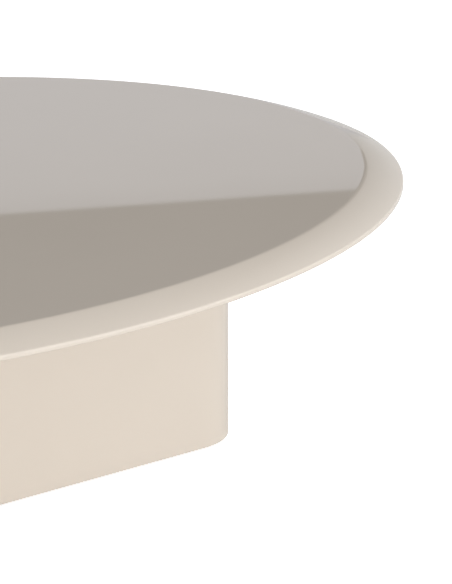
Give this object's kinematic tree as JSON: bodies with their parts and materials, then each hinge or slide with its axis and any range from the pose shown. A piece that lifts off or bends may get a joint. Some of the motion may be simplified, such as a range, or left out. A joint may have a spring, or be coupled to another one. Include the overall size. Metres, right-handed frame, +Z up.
{
  "type": "oval coffee table",
  "caption": "Low oval coffee table: a thin lacquered top with a wide bevel on a hollow, round-cornered plinth that stands on levelling glides.",
  "frame": {"origin": "centre of the footprint on the floor, under the middle of the oval", "axes": "+Z up; +X along the length of the oval; +Y across it, towards the rear; the pictured long side faces -Y"},
  "size_m": [1.4, 1.0499, 0.3],
  "materials": {
    "lacquered_mdf": "high-gloss cream polyurethane lacquer on MDF",
    "raw_mdf": "raw sanded MDF",
    "softwood": "planed pine",
    "beech": "sanded beech",
    "zinc_plated_steel": "bright zinc plate",
    "nylon": "natural nylon"
  },
  "bodies": {
    "table": {"table_top": "lacquered_mdf", "front_wall": "lacquered_mdf", "rear_wall": "lacquered_mdf", "left_wall": "lacquered_mdf", "right_wall": "lacquered_mdf", "front_left_corner": "lacquered_mdf", "front_right_corner": "lacquered_mdf", "rear_left_corner": "lacquered_mdf", "rear_right_corner": "lacquered_mdf", "corner_tongues": "beech", "fixing_board": "raw_mdf", "front_top_batten": "softwood", "rear_top_batten": "softwood", "left_top_batten": "softwood", "right_top_batten": "softwood", "front_bottom_rail": "softwood", "rear_bottom_rail": "softwood", "left_bottom_rail": "softwood", "right_bottom_rail": "softwood", "left_cross_rib": "raw_mdf", "right_cross_rib": "raw_mdf", "rib_dowels": "beech", "front_left_foot_block": "softwood", "front_right_foot_block": "softwood", "rear_left_foot_block": "softwood", "rear_right_foot_block": "softwood", "threaded_inserts": "zinc_plated_steel", "top_bolts": "zinc_plated_steel", "bolt_washers": "zinc_plated_steel", "batten_screws": "zinc_plated_steel", "board_screws": "zinc_plated_steel", "rail_screws": "zinc_plated_steel", "tee_nuts": "zinc_plated_steel"},
    "front_left_glide": {"front_left_glide_stem": "zinc_plated_steel", "front_left_glide_pad": "nylon"},
    "front_right_glide": {"front_right_glide_stem": "zinc_plated_steel", "front_right_glide_pad": "nylon"},
    "rear_left_glide": {"rear_left_glide_stem": "zinc_plated_steel", "rear_left_glide_pad": "nylon"},
    "rear_right_glide": {"rear_right_glide_stem": "zinc_plated_steel", "rear_right_glide_pad": "nylon"}
  },
  "joints": [
    {"name": "front_left_glide_screw", "type": "slide", "parent": "table", "child": "front_left_glide", "axis": [0, 0, -1], "range_m": [0, 0.01]},
    {"name": "front_right_glide_screw", "type": "slide", "parent": "table", "child": "front_right_glide", "axis": [0, 0, -1], "range_m": [0, 0.01]},
    {"name": "rear_left_glide_screw", "type": "slide", "parent": "table", "child": "rear_left_glide", "axis": [0, 0, -1], "range_m": [0, 0.01]},
    {"name": "rear_right_glide_screw", "type": "slide", "parent": "table", "child": "rear_right_glide", "axis": [0, 0, -1], "range_m": [0, 0.01]}
  ]
}
